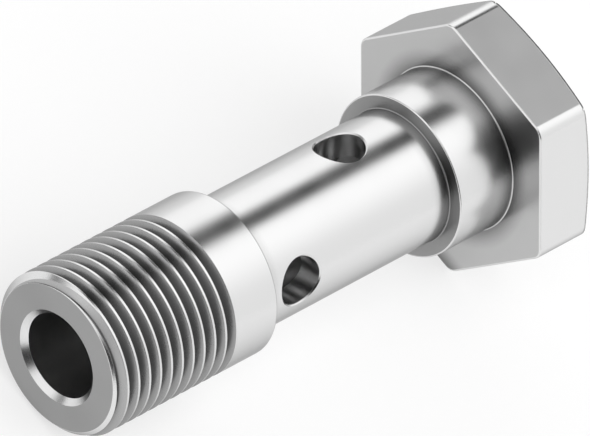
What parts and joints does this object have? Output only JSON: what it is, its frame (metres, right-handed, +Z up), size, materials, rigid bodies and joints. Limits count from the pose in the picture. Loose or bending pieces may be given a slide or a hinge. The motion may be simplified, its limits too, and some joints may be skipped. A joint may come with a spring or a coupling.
{
  "type": "banjo bolt",
  "caption": "Hex head banjo bolt with a collar, a relieved shank with two crossed ports, a blind flow bore and a fine external thread.",
  "frame": {"origin": "centre of the bearing face under the head, on the bolt's axis", "axes": "+X along the bolt's axis from the head towards the thread end; +Z up, with one flat of the head facing down"},
  "size_m": [0.0414, 0.0194, 0.017],
  "materials": {
    "turned_steel": "bright turned, semi-gloss"
  },
  "bodies": {
    "root": {"banjo_bolt": "turned_steel"}
  },
  "joints": []
}
